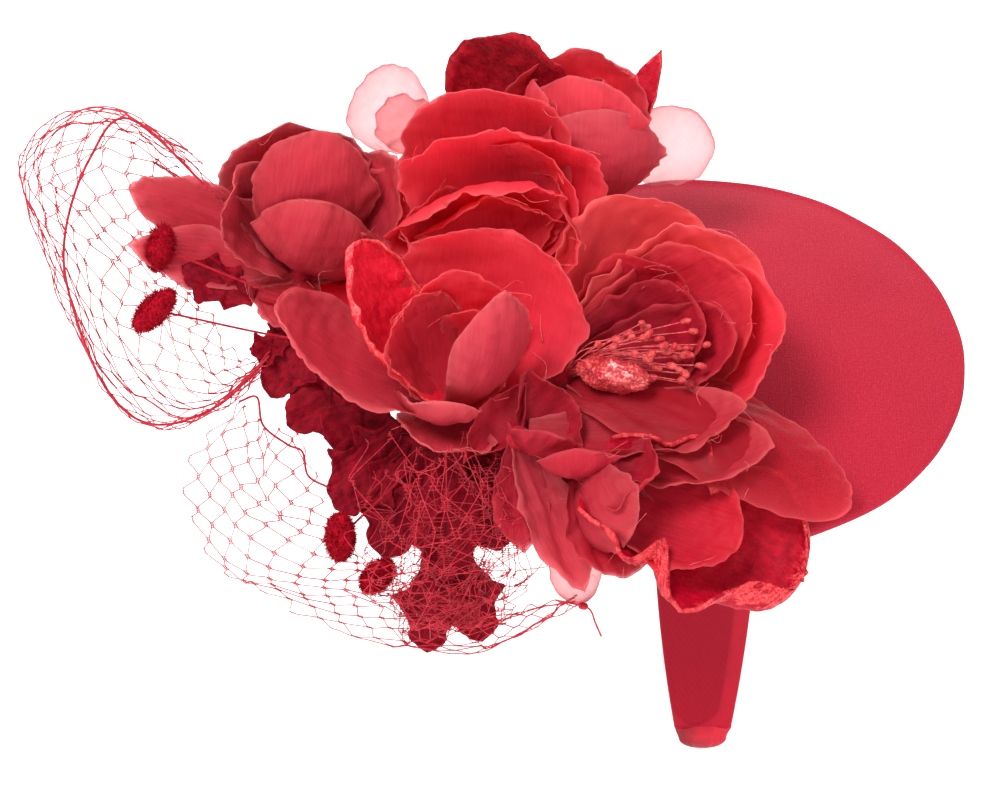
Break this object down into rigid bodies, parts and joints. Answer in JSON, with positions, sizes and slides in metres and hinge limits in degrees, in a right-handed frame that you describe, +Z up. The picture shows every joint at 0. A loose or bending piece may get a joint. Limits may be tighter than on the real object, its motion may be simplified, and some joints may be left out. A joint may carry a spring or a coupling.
{
  "type": "fascinator headpiece",
  "caption": "Fascinator headpiece: tilted felt button base with a spray of organza and velvet flowers, velvet leaves, pompons and netting on a sprung satin headband",
  "frame": {"origin": "inner face of the headband at the crown, where the top of the wearer's head touches it", "axes": "+Z up when worn, +X along the wearer's front-to-back line across the band's width, +Y from the trimmed ear to the other ear"},
  "size_m": [0.3145, 0.2067, 0.2367],
  "materials": {
    "felt": "matte wool felt with a fine nap and weave",
    "buckram": "stiffened open-weave buckram",
    "lining": "thin plain-weave lining",
    "steel": "spring steel strip and wire",
    "felt_pad": "dense felt pad",
    "satin": "satin with a soft gloss",
    "twill_ribbon": "matte twill ribbon with a diagonal rib",
    "bound_stem": "stem wire bound in paper tape",
    "glitter": "glitter-coated bud",
    "stamen": "starched thread with pearly tips",
    "crushed_velvet": "crushed velvet with a bright pile",
    "leaf_velvet": "dark cotton velvet",
    "organza": "starched organza, slightly see-through",
    "sheer_organza": "single sheer organza, see-through",
    "chenille": "chenille pompon",
    "netting": "fine millinery netting"
  },
  "bodies": {
    "root": {"base_cover": "felt", "base_shell": "buckram", "base_lining": "lining", "rim_wire": "steel", "edge_binding": "felt", "band_patch": "felt_pad", "spray_pad": "felt_pad", "crown_spring": "steel", "crown_satin": "satin", "crown_ribbon": "twill_ribbon", "front_calyx": "bound_stem", "main_calyx": "bound_stem", "top_calyx": "bound_stem", "left_calyx": "bound_stem", "right_calyx": "bound_stem", "side_calyx": "bound_stem", "low_calyx": "bound_stem", "flower_stems": "bound_stem", "glitter_cone": "glitter", "stamen_threads": "stamen", "stamen_pips": "stamen", "front_velvet_petal": "crushed_velvet", "front_inner_petals": "organza", "front_outer_petals": "organza", "main_inner_petals": "organza", "main_outer_petals": "organza", "top_outer_petals": "organza", "top_velvet_petals": "leaf_velvet", "left_inner_petals": "organza", "left_outer_petals": "organza", "right_inner_petals": "organza", "right_outer_petals": "organza", "side_spray_petals": "organza", "low_inner_petals": "organza", "low_velvet_petal": "crushed_velvet", "right_sheer_petal": "sheer_organza", "organza_loops": "sheer_organza", "left_velvet_leaves": "leaf_velvet", "low_velvet_leaves": "leaf_velvet", "jagged_velvet_leaf": "leaf_velvet", "leaf_wires": "bound_stem", "pompons": "chenille", "pompon_wires": "bound_stem", "left_veil": "netting", "left_veil_cord": "netting", "low_veil": "netting", "low_veil_cord": "netting", "bunched_veil": "netting"},
    "near_leg": {"near_leg_spring": "steel", "near_leg_satin": "satin", "near_leg_ribbon": "twill_ribbon", "near_tip_wrap": "satin"},
    "far_leg": {"far_leg_spring": "steel", "far_leg_satin": "satin", "far_leg_ribbon": "twill_ribbon", "far_tip_wrap": "satin"}
  },
  "joints": [
    {"name": "near_leg_flex", "type": "hinge", "parent": "root", "child": "near_leg", "pos_m": [0, -0.06584, -0.0617], "axis": [-1, 0, 0], "range_deg": [-3, 12], "stiffness_Nm_per_rad": 0.8},
    {"name": "far_leg_flex", "type": "hinge", "parent": "root", "child": "far_leg", "pos_m": [0, 0.06584, -0.0617], "axis": [1, 0, 0], "range_deg": [-3, 12], "stiffness_Nm_per_rad": 0.8}
  ]
}
